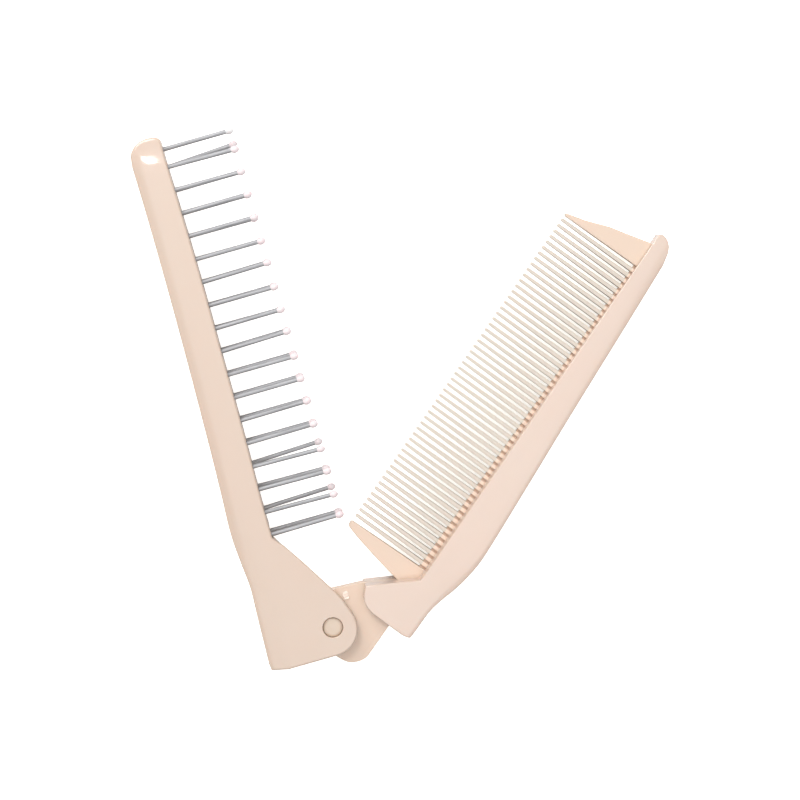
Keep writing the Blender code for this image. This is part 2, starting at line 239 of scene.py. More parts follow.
def smooth_edge(stations, steps):
    """A Catmull-Rom curve through the stations, with the given steps between two of them."""
    points = []
    for index in range(len(stations) - 1):
        before = Vector(stations[max(index - 1, 0)])
        start = Vector(stations[index])
        end = Vector(stations[index + 1])
        after = Vector(stations[min(index + 2, len(stations) - 1)])
        for step in range(steps):
            t = step / steps
            point = 0.5 * (
                2 * start
                + (end - before) * t
                + (2 * before - 5 * start + 4 * end - after) * t * t
                + (3 * start - before - 3 * end + after) * t * t * t
            )
            points.append((point.x, point.y))
    points.append(stations[-1])
    return points


def slab(outlines, thickness):
    """A flat plate about the middle plane. Its outlines run anticlockwise from above and may share edges."""
    mesh_data = bmesh.new()
    for outline in outlines:
        ring = [mesh_data.verts.new((x, y, MIDDLE_Z - thickness / 2)) for x, y in outline]
        mesh_data.faces.new(list(reversed(ring)))
    bmesh.ops.remove_doubles(mesh_data, verts=mesh_data.verts, dist=MERGE_DISTANCE)
    lifted = bmesh.ops.extrude_face_region(mesh_data, geom=list(mesh_data.faces), use_keep_orig=True)
    moved = [item for item in lifted["geom"] if isinstance(item, bmesh.types.BMVert)]
    bmesh.ops.translate(mesh_data, verts=moved, vec=(0, 0, thickness))
    bmesh.ops.recalc_face_normals(mesh_data, faces=mesh_data.faces)
    return mesh_data


def round_rims(mesh_data, radius, segments):
    """Rounds the edges of both flat faces of a slab."""
    mesh_data.normal_update()
    rims = [edge for edge in mesh_data.edges
            if any(abs(face.normal.z) > FLAT_NORMAL_Z for face in edge.link_faces)
            and any(abs(face.normal.z) < WALL_NORMAL_Z for face in edge.link_faces)]
    bmesh.ops.bevel(mesh_data, geom=rims, offset=radius, segments=segments, affect="EDGES", profile=0.5,
                    material=-1, clamp_overlap=True)


def cut_lines(mesh_data, axis, start, end, step):
    """Adds edge lines across the mesh at equal steps along one axis, so that its faces can bend there."""
    normal = Vector((1, 0, 0)) if axis == "x" else Vector((0, 1, 0))
    for count in range(round((end - start) / step) + 1):
        bmesh.ops.bisect_plane(mesh_data, geom=mesh_data.verts[:] + mesh_data.edges[:] + mesh_data.faces[:],
                               dist=CUT_SNAP, plane_co=normal * (start + count * step), plane_no=normal)


def edge_at(stations, along, across, place):
    """Reads a row of points at a place along it. The numbers along and across say which value is which."""
    for low, high in zip(stations, stations[1:]):
        if low[along] <= place <= high[along]:
            share = (place - low[along]) / (high[along] - low[along])
            return low[across] + (high[across] - low[across]) * share
    nearest = stations[0] if place < stations[0][along] else stations[-1]
    return nearest[across]


def ease(share):
    """Goes softly from 0 to 1."""
    share = min(max(share, 0.0), 1.0)
    return share * share * (3 - 2 * share)


def flank_fall(past_crease, width):
    """How far the face has sunk at a distance past the crease, with the crease itself rounded."""
    if past_crease < -CREASE_REACH:
        return 0.0
    rounded = (past_crease + math.hypot(past_crease, CREASE_SOFTNESS)) / 2
    rolled = max(past_crease - width + EDGE_ROLL_WIDTH, 0.0) / EDGE_ROLL_WIDTH
    return FLANK_DROP * rounded / width + EDGE_ROLL_DROP * rolled * rolled


def flank_width(along):
    """The flank is wide at the hinge and narrow along the bar."""
    start, end = FLANK_CHANGE
    return FLANK_WIDTH_HINGE + (FLANK_WIDTH_BAR - FLANK_WIDTH_HINGE) * ease((along - start) / (end - start))


def press_faces(mesh_data, half_thickness, fall):
    """Brings both faces to their height: half the thickness there, less what the face has sunk."""
    for vertex in mesh_data.verts:
        share = (vertex.co.z - MIDDLE_Z) / MIDDLE_Z
        height = half_thickness(vertex.co.x) - fall(vertex.co.x, vertex.co.y)
        vertex.co.z = MIDDLE_Z + share * height


def draw_in_slant(mesh_data):
    """Draws the flange's slanted wall in towards its lower edge, as the mould's draft leaves it."""
    start, end = Vector(FLANGE_SLANT[1]), Vector(BAR_INNER_EDGE[-1])
    inwards = Vector((start.y - end.y, end.x - start.x)).normalized()
    for vertex in mesh_data.verts:
        depth = (vertex.co.xy - start).dot(inwards)
        near = 1.0 - ease(depth / SLANT_REACH)
        span = edge_at(SLANT_DRAFT_SPAN, 0, 1, vertex.co.y)
        shift = SLANT_DRAFT * near * span * (1.0 - vertex.co.z / THICKNESS)
        vertex.co.xy += inwards * shift


def turned(mesh_data, profile, place, axis, sides):
    """Adds a closed solid turned about an axis through a place. The profile lists (along, radius). The faces
    that are there already are tagged, and stay where they are."""
    turn = Vector((0, 0, 1)).rotation_difference(Vector(axis)).to_matrix().to_4x4()
    chain = [mesh_data.verts.new((radius, 0.0, along)) for along, radius in profile]
    edges = [mesh_data.edges.new(pair) for pair in zip(chain, chain[1:])]
    bmesh.ops.spin(mesh_data, geom=chain + edges, cent=(0, 0, 0), axis=(0, 0, 1), angle=math.tau,
                   steps=sides, use_merge=True)
    verts = list({vertex for face in mesh_data.faces for vertex in face.verts if not face.tag})
    bmesh.ops.transform(mesh_data, matrix=Matrix.Translation(Vector(place)) @ turn, verts=verts)
    for face in mesh_data.faces:
        face.tag = True


def settle(mesh_data):
    """Merges a turned shape's poles and turns its faces outwards."""
    bmesh.ops.remove_doubles(mesh_data, verts=mesh_data.verts, dist=MERGE_DISTANCE)
    bmesh.ops.recalc_face_normals(mesh_data, faces=mesh_data.faces)
    return mesh_data


def block(low, high):
    """A closed box between two corners."""
    mesh_data = bmesh.new()
    size = Vector(high) - Vector(low)
    middle = (Vector(high) + Vector(low)) / 2
    stretch = Matrix.Diagonal((*size, 1.0))
    bmesh.ops.create_cube(mesh_data, size=1.0, matrix=Matrix.Translation(middle) @ stretch)
    return mesh_data


def loose_object(mesh_data):
    """A temporary object for a bmesh."""
    mesh = bpy.data.meshes.new("blank")
    mesh_data.to_mesh(mesh)
    mesh_data.free()
    piece = bpy.data.objects.new("blank", mesh)
    bpy.context.collection.objects.link(piece)
    return piece


def carve(mesh_data, cutter_data):
    """Cuts one closed bmesh out of another and gives what is left."""
    blank = loose_object(mesh_data)
    cutter = loose_object(cutter_data)
    boolean = blank.modifiers.new("cut", "BOOLEAN")
    boolean.object = cutter
    rest = bmesh.new()
    rest.from_object(blank, bpy.context.evaluated_depsgraph_get())
    for used in (blank, cutter):
        mesh = used.data
        bpy.data.objects.remove(used)
        bpy.data.meshes.remove(mesh)
    return rest


def finished(name, mesh_data, body, materials, sharp_degrees=38):
    """The piece's object, smooth but for its sharp corners, riding on its body."""
    mesh = bpy.data.meshes.new(name)
    mesh_data.to_mesh(mesh)
    mesh_data.free()
    for material in materials:
        mesh.materials.append(material)
    mesh.shade_smooth()
    mesh.set_sharp_from_angle(angle=math.radians(sharp_degrees))
    piece = bpy.data.objects.new(name, mesh)
    bpy.context.collection.objects.link(piece)
    shading = piece.modifiers.new("even shading", "WEIGHTED_NORMAL")
    shading.keep_sharp = True
    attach(piece, body)
    return piece


def moulded_plastic_group():
    """Slow drifts of tone from the melt, a faint cloud of roughness, and the fine skin of the mould."""
    group = bpy.data.node_groups.new("moulded plastic", "ShaderNodeTree")
    for label, kind, value in (("Colour", "NodeSocketColor", (0.8, 0.6, 0.5, 1.0)),
                               ("Warm colour", "NodeSocketColor", (0.8, 0.5, 0.4, 1.0)),
                               ("Drift", "NodeSocketFloat", 0.3),
                               ("Roughness", "NodeSocketFloat", 0.3),
                               ("Skin depth", "NodeSocketFloat", 0.1)):
        socket = group.interface.new_socket(label, in_out="INPUT", socket_type=kind)
        socket.default_value = value
    group.interface.new_socket("Colour", in_out="OUTPUT", socket_type="NodeSocketColor")
    group.interface.new_socket("Roughness", in_out="OUTPUT", socket_type="NodeSocketFloat")
    group.interface.new_socket("Normal", in_out="OUTPUT", socket_type="NodeSocketVector")
    nodes, links = group.nodes, group.links
    given = nodes.new("NodeGroupInput")
    result = nodes.new("NodeGroupOutput")
    place = nodes.new("ShaderNodeTexCoord")

    drift = nodes.new("ShaderNodeTexNoise")
    sockets(drift, Scale=55.0, Detail=3.0, Roughness=0.5)
    spread = nodes.new("ShaderNodeMapRange")
    sockets(spread, From_Min=0.35, From_Max=0.65)
    amount = nodes.new("ShaderNodeMath")
    amount.operation = "MULTIPLY"
    tone = nodes.new("ShaderNodeMix")
    tone.data_type = "RGBA"
    links.new(place.outputs["Object"], drift.inputs["Vector"])
    links.new(drift.outputs["Fac"], spread.inputs["Value"])
    links.new(spread.outputs["Result"], amount.inputs[0])
    links.new(given.outputs["Drift"], amount.inputs[1])
    links.new(amount.outputs["Value"], tone.inputs["Factor"])
    links.new(given.outputs["Colour"], tone.inputs["A"])
    links.new(given.outputs["Warm colour"], tone.inputs["B"])
    links.new(tone.outputs["Result"], result.inputs["Colour"])

    cloud = nodes.new("ShaderNodeTexNoise")
    sockets(cloud, Scale=240.0, Detail=2.0)
    gloss = nodes.new("ShaderNodeMapRange")
    sockets(gloss, From_Min=0.3, From_Max=0.7, To_Min=-0.03, To_Max=0.03)
    total = nodes.new("ShaderNodeMath")
    links.new(place.outputs["Object"], cloud.inputs["Vector"])
    links.new(cloud.outputs["Fac"], gloss.inputs["Value"])
    links.new(gloss.outputs["Result"], total.inputs[0])
    links.new(given.outputs["Roughness"], total.inputs[1])
    links.new(total.outputs["Value"], result.inputs["Roughness"])

    skin = nodes.new("ShaderNodeTexNoise")
    sockets(skin, Scale=1500.0, Detail=3.0)
    bump = nodes.new("ShaderNodeBump")
    bump.inputs["Distance"].default_value = 0.00002
    links.new(place.outputs["Object"], skin.inputs["Vector"])
    links.new(skin.outputs["Fac"], bump.inputs["Height"])
    links.new(given.outputs["Skin depth"], bump.inputs["Strength"])
    links.new(bump.outputs["Normal"], result.inputs["Normal"])
    return group


moulded_plastic = moulded_plastic_group()


def drifting_material(name, colour, warm_colour, drift, roughness, skin_depth):
    """A material whose colour, roughness and skin come from the moulded plastic group, and its shader."""
    material, tree, output = new_material(name)
    surface = tree.nodes.new("ShaderNodeGroup")
    surface.node_tree = moulded_plastic
    sockets(surface, Colour=(*colour, 1.0), Warm_colour=(*warm_colour, 1.0), Drift=drift, Roughness=roughness,
            Skin_depth=skin_depth)
    shader = tree.nodes.new("ShaderNodeBsdfPrincipled")
    tree.links.new(surface.outputs["Colour"], shader.inputs["Base Color"])
    tree.links.new(surface.outputs["Roughness"], shader.inputs["Roughness"])
    tree.links.new(surface.outputs["Normal"], shader.inputs["Normal"])
    tree.links.new(shader.outputs["BSDF"], output.inputs["Surface"])
    return material, shader


def plastic(name, colour, warm_colour, drift, roughness, skin_depth, gloss=0.0):
    """A pale satin plastic that lets a little light into its edges. The gloss is a thin polished coat."""
    material, shader = drifting_material(name, colour, warm_colour, drift, roughness, skin_depth)
    sockets(shader, Metallic=0.0, IOR=1.49, Subsurface_Weight=0.12, Subsurface_Scale=0.0015,
            Subsurface_Radius=(1.0, 0.55, 0.35), Coat_Weight=gloss, Coat_Roughness=0.04)
    return material


brush_plastic = plastic("brush plastic", colour=(0.618, 0.487, 0.396), warm_colour=(0.628, 0.464, 0.373),
                        drift=0.35, roughness=0.22, skin_depth=0.10, gloss=0.3)


def pin_places():
    """The (y, z) place of each bristle: two rows, and the single one last."""
    places = []
    for pair in range(PAIR_COUNT):
        for side in (1, -1):
            places.append((FIRST_PAIR_Y + pair * PAIR_PITCH, MIDDLE_Z + side * ROW_SPACING / 2))
    places.append((SINGLE_PIN_Y, MIDDLE_Z))
    return places


def brush_arm_fall(x, y):
    """How far the brush arm's face has sunk: behind the crease, and towards the far end."""
    outer = edge_at(BAR_OUTER_EDGE, 1, 0, y)
    width = flank_width(y)
    past_tip = max(y - TIP_DROP_START, 0.0) / (TIP_TOP_Y - TIP_DROP_START)
    return flank_fall(outer + width - x, width) + TIP_DROP * past_tip * past_tip


def soften_slot(mesh_data, low, high, radius):
    """Rounds the long edges where a slot's walls meet the outside."""
    mesh_data.normal_update()
    mouths = []
    for edge in mesh_data.edges:
        on_level = any(all(abs(vertex.co.z - level) < SLOT_LEVEL_SLACK for vertex in edge.verts)
                       for level in (low, high))
        angle = math.degrees(edge.calc_face_angle_signed(0.0))
        if on_level and len(edge.link_faces) == 2 and angle > SLOT_EDGE_ANGLE:
            mouths.append(edge)
    bmesh.ops.bevel(mesh_data, geom=mouths, offset=radius, segments=2, affect="EDGES", profile=0.5,
                    material=-1, clamp_overlap=True)


def pivot_hole():
    """The cutter of the blind hole for the hinge pin, with a softly rounded mouth."""
    wide = PIVOT_RADIUS + PIVOT_MOUTH_ROUND
    profile = [(PIVOT_FLOOR, 0.0), (PIVOT_FLOOR, PIVOT_RADIUS)]
    for step in range(PIVOT_MOUTH_STEPS + 1):
        angle = math.radians(90 * step / PIVOT_MOUTH_STEPS)
        profile.append((THICKNESS + PIVOT_MOUTH_ROUND * (math.sin(angle) - 1),
                        wide - PIVOT_MOUTH_ROUND * math.cos(angle)))
    profile += [(PIVOT_CUT_TOP, wide), (PIVOT_CUT_TOP, 0.0)]
    cutter = bmesh.new()
    turned(cutter, profile, (0, 0, 0), (0, 0, 1), PIVOT_SIDES)
    return settle(cutter)


def bristle_sockets():
    """The cutters of the bristles' sockets, flared a little where they come out of the land."""
    cutters = bmesh.new()
    wide = SOCKET_RADIUS + SOCKET_MOUTH
    for y, z in pin_places():
        land_x = edge_at(list(reversed(BAR_INNER_EDGE)), 1, 0, y)
        depth = land_x - SOCKET_FLOOR_X
        profile = [(0.0, 0.0), (0.0, SOCKET_RADIUS), (depth - SOCKET_MOUTH, SOCKET_RADIUS), (depth, wide),
                   (depth + SOCKET_CUT_PAST, wide), (depth + SOCKET_CUT_PAST, 0.0)]
        turned(cutters, profile, (SOCKET_FLOOR_X, y, z), (1, 0, 0), SOCKET_SIDES)
    return settle(cutters)


def make_brush_arm():
    """The bar and its flange, with the slot, the pivot hole and the sockets cut in it."""
    outline = (
        [BAR_END_CORNERS[1]]
        + arc(FLANGE_CENTRE, FLANGE_RADIUS, start_degrees=-90, end_degrees=18, steps=40)
        + FLANGE_SLANT
        + list(reversed(smooth_edge(BAR_INNER_EDGE, steps=4)))
        + list(reversed(smooth_edge(BAR_TIP, steps=4)))
        + list(reversed(smooth_edge(BAR_OUTER_EDGE, steps=6)))
        + [BAR_END_CORNERS[0]]
    )
    mesh_data = slab([outline], THICKNESS)
    round_rims(mesh_data, EDGE_ROUND, EDGE_SEGMENTS)
    cut_lines(mesh_data, "x", *BAR_CUTS_ACROSS_X)
    cut_lines(mesh_data, "y", *BAR_CUTS_ALONG_Y)
    cut_lines(mesh_data, "y", *TIP_CUTS_ALONG_Y)
    press_faces(mesh_data, lambda x: MIDDLE_Z, brush_arm_fall)
    draw_in_slant(mesh_data)

    low = MIDDLE_Z - SLOT_HEIGHT / 2
    high = MIDDLE_Z + SLOT_HEIGHT / 2
    mesh_data = carve(mesh_data, block((SLOT_FLOOR_X, -CUT_REACH, low), (CUT_REACH, SLOT_END_Y, high)))
    soften_slot(mesh_data, low, high, SLOT_EDGE_ROUND)
    mesh_data = carve(mesh_data, pivot_hole())
    mesh_data = carve(mesh_data, bristle_sockets())
    return finished("brush_bar", mesh_data, "brush", [brush_plastic])


brush_bar = make_brush_arm()
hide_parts("brush_arm")

# Hinge pin
# A round plug of a slightly yellower and rougher plastic, pressed through the flange and the comb's tongue.
# Its head lies a little below the face, with a softly rounded rim, so that a thin dark ring shows round it.
HINGE_PIN_RADIUS = 0.00233
HINGE_PIN_SINK = 0.0006
HINGE_PIN_RIM_WIDTH = 0.0008
HINGE_PIN_RIM_DROP = 0.0005
HINGE_PIN_RIM_STEPS = 6
HINGE_PIN_BOTTOM = 0.00155

plug_plastic = plastic("plug plastic", colour=(0.63, 0.53, 0.41), warm_colour=(0.64, 0.48, 0.40),
                       drift=0.8, roughness=0.30, skin_depth=0.5)


def make_hinge_pin():
    """The plug from its foot in the lower cheek to its sunk head."""
    top = THICKNESS - HINGE_PIN_SINK
    profile = [(HINGE_PIN_BOTTOM, 0.0), (HINGE_PIN_BOTTOM, HINGE_PIN_RADIUS)]
    for step in range(HINGE_PIN_RIM_STEPS + 1):
        angle = math.radians(90 * step / HINGE_PIN_RIM_STEPS)
        profile.append((top - HINGE_PIN_RIM_DROP * (1 - math.sin(angle)),
                        HINGE_PIN_RADIUS - HINGE_PIN_RIM_WIDTH * (1 - math.cos(angle))))
    profile.append((top, 0.0))
    mesh_data = bmesh.new()
    turned(mesh_data, profile, (0, 0, 0), (0, 0, 1), PIVOT_SIDES)
    return finished("hinge_plug", settle(mesh_data), "brush", [plug_plastic])


hinge_plug = make_hinge_pin()
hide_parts("hinge_pin")

# Bristles
# Straight drawn steel wires pressed into the two lands in pairs, with a single one at the far end. Each ends
# in a drop of resin, pale pink on the pairs and clear on the single one. A few have been bent in use.
WIRE_RADIUS = 0.00052
WIRE_ROOT_X = -0.0098
TIP_X = 0.0097
DROP_RADIUS = 0.00084
DROP_LENGTH = 0.0021
DROP_STEPS = 10
BRISTLE_SIDES = 16
WIRE_DARK = (0.33, 0.33, 0.34, 1.0)
WIRE_LIGHT = (0.52, 0.52, 0.535, 1.0)
STREAK_SCALE = (120.0, 2600.0, 2600.0)
# How far the tips of the bent bristles have moved along the bar, by the bristle's number.
BENT_TIPS = {3: -0.0005, 4: 0.0005, 5: -0.0004, 6: -0.0004, 7: -0.0005, 8: 0.0006, 17: 0.0004, 18: 0.0003,
             23: 0.0003, 24: 0.0003, 33: -0.0003, 34: 0.0012}
# The others lean by this at most, each in its own way.
LEAN_REACH = 0.00012
LEAN_CHANGE = 2.4


def wire_steel():
    """Drawn wire: grey, with fine streaks along its length and darker specks."""
    material, tree, output = new_material("wire steel")
    place = tree.nodes.new("ShaderNodeTexCoord")
    stretch = tree.nodes.new("ShaderNodeMapping")
    stretch.inputs["Scale"].default_value = STREAK_SCALE
    streak = tree.nodes.new("ShaderNodeTexNoise")
    sockets(streak, Scale=1.0, Detail=3.0)
    tone = tree.nodes.new("ShaderNodeValToRGB")
    tone.color_ramp.elements[0].position = 0.3
    tone.color_ramp.elements[0].color = WIRE_DARK
    tone.color_ramp.elements[1].position = 0.7
    tone.color_ramp.elements[1].color = WIRE_LIGHT
    gloss = tree.nodes.new("ShaderNodeMapRange")
    sockets(gloss, To_Min=0.55, To_Max=0.75)
    shader = tree.nodes.new("ShaderNodeBsdfPrincipled")
    sockets(shader, Metallic=0.7)
    tree.links.new(place.outputs["Object"], stretch.inputs["Vector"])
    tree.links.new(stretch.outputs["Vector"], streak.inputs["Vector"])
    tree.links.new(streak.outputs["Fac"], tone.inputs["Fac"])
    tree.links.new(streak.outputs["Fac"], gloss.inputs["Value"])
    tree.links.new(tone.outputs["Color"], shader.inputs["Base Color"])
    tree.links.new(gloss.outputs["Result"], shader.inputs["Roughness"])
    tree.links.new(shader.outputs["BSDF"], output.inputs["Surface"])
    return material


def tip_resin(name, colour, warm_colour):
    """A drop of pale resin, glossy and a little cloudy."""
    material, shader = drifting_material(name, colour, warm_colour, drift=0.6, roughness=0.26, skin_depth=0.1)
    sockets(shader, IOR=1.5, Subsurface_Weight=0.2, Subsurface_Scale=0.0006,
            Subsurface_Radius=(1.0, 0.7, 0.7))
    return material


steel = wire_steel()
pink_resin = tip_resin("pink tip resin", (0.82, 0.74, 0.75), (0.83, 0.66, 0.68))
clear_resin = tip_resin("clear tip resin", (0.78, 0.78, 0.78), (0.80, 0.75, 0.75))


def lean_of(number):
    """How far a bristle's tip has bent along the bar."""
    if number in BENT_TIPS:
        return BENT_TIPS[number]
    return LEAN_REACH * math.sin(LEAN_CHANGE * number)


def make_bristle(number, y, z):
    """One wire with its drop, leaning from its socket on."""
    neck = math.asin(WIRE_RADIUS / DROP_RADIUS)
    half = DROP_LENGTH / 2
    profile = [(WIRE_ROOT_X, 0.0), (WIRE_ROOT_X, WIRE_RADIUS)]
    for step in range(DROP_STEPS + 1):
        angle = neck + (math.pi - neck) * step / DROP_STEPS
        profile.append((TIP_X - half - half * math.cos(angle), DROP_RADIUS * math.sin(angle)))
    mesh_data = bmesh.new()
    turned(mesh_data, profile, (0, y, z), (1, 0, 0), BRISTLE_SIDES)
    settle(mesh_data)
    for vertex in mesh_data.verts:
        vertex.co.y += lean_of(number) * (vertex.co.x - WIRE_ROOT_X) / (TIP_X - WIRE_ROOT_X)
    for face in mesh_data.faces:
        in_drop = face.calc_center_median().x > TIP_X - DROP_LENGTH
        face.material_index = 1 if in_drop else 0
    resin = clear_resin if number > 2 * PAIR_COUNT else pink_resin
    bristle = finished(f"bristle_{number:02d}", mesh_data, "brush", [steel, resin], sharp_degrees=60)
    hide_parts(f"bristle_pin_{number:02d}")


for number, (y, z) in enumerate(pin_places(), start=1):
    make_bristle(number, y, z)

# Comb spine
# The comb's back, moulded in the same plastic. It is as thick as the brush arm at the hinge and thins towards
# its tip, with the same creased flank, and a slot along its inner side holds the comb plate.
TAPER_START_U = 0.030
TIP_U = 0.1182
INNER_EDGE_END_U = TIP_U - 0.002
INNER_EDGE_STEPS = 8
TIP_THICKNESS = 0.0048
SPINE_INNER_V = -0.0106
SPINE_END = [(0.01225, -0.00070), (0.01055, -0.00155), (0.00918, -0.00250), (0.00826, -0.00398),
             (0.00780, -0.00596)]
SPINE_BACK = [
    (0.00754, -0.01430), (0.00782, -0.01580), (0.00885, -0.01638), (0.01522, -0.01650), (0.01895, -0.01721),
    (0.02268, -0.01830), (0.02641, -0.01910), (0.03105, -0.01965), (0.03699, -0.01955), (0.05383, -0.01863),
    (0.07399, -0.01747), (0.09243, -0.01655), (0.11239, -0.01550),
]
CREASED_BACK = SPINE_BACK[2:]
SPINE_TIP = [(0.1154, -0.0148), (0.1169, -0.0140), (0.1179, -0.0127), (0.1182, -0.0113), (0.1177, -0.0106)]
SHOULDER = [(0.02050, SPINE_INNER_V), (0.01640, -0.00562)]
PLATE_THICKNESS = 0.0026
PLATE_GAP = 0.00002
PLATE_BACK_V = -0.0133
PLATE_END_U = 0.1151
SPINE_CUTS_ALONG_U = (0.0085, 0.1165, 0.0027)
SPINE_CUTS_ACROSS_V = (-0.0195, -0.0108, 0.0003)

# The comb is drawn along its own axes, u from the hinge to its tip and v towards the tips of its teeth, and
# then turned to where it lies, with this angle between the two arms.
ARMS_APART = 50.66
ARM_TURN = Matrix.Rotation(math.radians(90 - ARMS_APART), 4, "Z")

# The same plastic as the brush arm's, painted a little lighter: painted light, as the comb's back is lit
# brighter than the bar.
spine_plastic_painted_lighter = plastic("spine plastic, painted lighter", colour=(0.668, 0.527, 0.441), warm_colour=(0.678, 0.506, 0.420),
                        drift=0.35, roughness=0.20, skin_depth=0.10, gloss=0.3)


def spine_half_thickness(u):
    """Half the spine's thickness at a place along it."""
    share = min(max((u - TAPER_START_U) / (TIP_U - TAPER_START_U), 0.0), 1.0)
    return (THICKNESS + (TIP_THICKNESS - THICKNESS) * share) / 2


def spine_fall(u, v):
    """How far the spine's face has sunk behind its crease."""
    outer = edge_at(CREASED_BACK, 0, 1, u)
    width = flank_width(u)
    return flank_fall(outer + width - v, width)


def make_comb_spine():
    """The comb's back, thinning to its tip, with the plate's slot cut in it."""
    inner_edge = []
    for step in range(INNER_EDGE_STEPS, -1, -1):
        share = step / INNER_EDGE_STEPS
        inner_edge.append((TAPER_START_U + (INNER_EDGE_END_U - TAPER_START_U) * share, SPINE_INNER_V))
    outline = (
        smooth_edge(SPINE_END, steps=4)
        + smooth_edge(SPINE_BACK, steps=5)
        + smooth_edge(SPINE_TIP, steps=4)
        + inner_edge
        + SHOULDER
    )
    mesh_data = slab([outline], THICKNESS)
    round_rims(mesh_data, EDGE_ROUND, EDGE_SEGMENTS)
    cut_lines(mesh_data, "x", *SPINE_CUTS_ALONG_U)
    cut_lines(mesh_data, "y", *SPINE_CUTS_ACROSS_V)
    press_faces(mesh_data, spine_half_thickness, spine_fall)
    half = PLATE_THICKNESS / 2 + PLATE_GAP
    mesh_data = carve(mesh_data, block((-CUT_REACH, PLATE_BACK_V - PLATE_GAP, MIDDLE_Z - half),
                                       (PLATE_END_U + PLATE_GAP, CUT_REACH, MIDDLE_Z + half)))
    bmesh.ops.transform(mesh_data, matrix=ARM_TURN, verts=mesh_data.verts)
    return finished("comb_back", mesh_data, "comb", [spine_plastic_painted_lighter])


comb_back = make_comb_spine()
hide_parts("comb_spine")

# Comb plate
# A thin plate moulded in one piece and pushed into the spine: the hinge tongue, a guard wedge at each end and
# 55 fine teeth that thin towards their rounded tips, joined at their roots by a thinner web. Three low ramps
# stand on the tongue, where it leaves the flange.
PLATE_STEP_U = 0.0105
TOOTH_COUNT = 55
FIRST_ROOT_U = 0.02366
ROOT_PITCH = 0.001554
FIRST_TIP_U = 0.02420
TIP_PITCH = 0.0015475
TOOTH_ROOT_WIDTH = 0.00100
TOOTH_TIP_WIDTH = 0.00074
TOOTH_ROOT_V = -0.0109
TOOTH_TIP_V = 0.01005
TIP_THINNING = 0.45
TEETH_MARGIN = 0.0003
WEB_THICKNESS = 0.0010
WEB_OVERLAP = 0.0004
WEB_BACK_V = -0.0120
WEB_EDGE_LOW_V = -0.0092
WEB_EDGE_HIGH_V = -0.01015
RAMP_COUNT = 3
RAMP_PLACE = (0.0074, 0.0013)
RAMP_LENGTH = 0.0012
RAMP_WIDTH = 0.0006
RAMP_HEIGHT = 0.00023
RAMP_FOOT = 0.0003
RAMP_TURN = ARMS_APART - 90
PLATE_EDGE_ROUND = 0.00016
PLATE_EDGE_SEGMENTS = 3
TONGUE_HOLE_RADIUS = 0.0024
TONGUE_HOLE_SIDES = 32
TONGUE_BACK_V = -0.0112
TONGUE_CORNER = [(-0.00150, TONGUE_BACK_V), (-0.00277, -0.01077), (-0.00388, -0.00997), (-0.00499, -0.00866),
                 (-0.00549, -0.00705), (-0.00564, -0.00503)]
TONGUE_SLANT = [(0.00560, 0.00590), (0.01215, -0.00016), (0.01262, -0.00115), (0.01640, -0.00562)]
TONGUE_BOSS_RADIUS = 0.0062
LOW_WEDGE_OUTER = [(0.01715, -0.00653), (0.01875, 0.00111), (0.02011, 0.00675), (0.02102, 0.00967)]
LOW_WEDGE_INNER_U = 0.02260
LOW_WEDGE_TIP = [(LOW_WEDGE_INNER_U, 0.00967), (0.02233, TOOTH_TIP_V), (0.02132, TOOTH_TIP_V)]
HIGH_WEDGE_INNER_U = 0.10882
HIGH_WEDGE_OUTER = [(0.10957, 0.00947), (0.11065, 0.00534), (0.11272, -0.00030), (0.11367, -0.00443),
                    (0.11510, -0.01007)]
HIGH_WEDGE_TIP = [(0.10945, 0.00995), (0.10915, 0.00995), (HIGH_WEDGE_INNER_U, 0.00960)]

# The plate's plastic is a little warmer than the spine's: painted warm shade and light bounced from the spine
# onto the tongue and wedges.
plate_plastic_painted_warm = plastic("plate plastic", colour=(0.70, 0.545, 0.43), warm_colour=(0.71, 0.52, 0.405),
                        drift=0.35, roughness=0.20, skin_depth=0.15)
tooth_plastic = plastic("tooth plastic", colour=(0.600, 0.538, 0.462), warm_colour=(0.610, 0.520, 0.440),
                        drift=0.5, roughness=0.25, skin_depth=0.15)
# The root plastic is lighter than the plate's: painted light on the roots of the teeth, against the shade the
# spine casts beside them.
lit_root_plastic = plastic("root plastic with painted light", colour=(0.80, 0.620, 0.495), warm_colour=(0.80, 0.590, 0.470),
                       drift=0.5, roughness=0.22, skin_depth=0.15)
# The web plastic is darker and browner: painted shade in the hollows between the roots of the teeth.
shaded_web_plastic = plastic("web plastic with painted shade", colour=(0.62, 0.440, 0.330), warm_colour=(0.62, 0.410, 0.300),
                      drift=0.5, roughness=0.30, skin_depth=0.15)

# Where each tone stands in the plate's list of materials. The plate's main one, painted warm, is the first.
PLATE_TONES = [plate_plastic_painted_warm, tooth_plastic, lit_root_plastic, shaded_web_plastic]
TOOTH_TONE = 1
PAINTED_LIGHT_ROOT_TONE = 2
SHADED_WEB_TONE = 3


def tooth_outline(index):
    """One tooth from its right root to its left root, going round its tip (u, v)."""
    root = FIRST_ROOT_U + index * ROOT_PITCH
    tip_radius = TOOTH_TIP_WIDTH / 2
    round_end = arc((FIRST_TIP_U + index * TIP_PITCH, TOOTH_TIP_V - tip_radius), tip_radius,
                    start_degrees=0, end_degrees=180, steps=6)
    right_root = (root + TOOTH_ROOT_WIDTH / 2, TOOTH_ROOT_V)
    left_root = (root - TOOTH_ROOT_WIDTH / 2, TOOTH_ROOT_V)
    return [right_root] + round_end + [left_root]


def among_teeth(u):
    """Whether a place along the plate is between the two guard wedges."""
    return LOW_WEDGE_INNER_U + TEETH_MARGIN < u < HIGH_WEDGE_INNER_U - TEETH_MARGIN


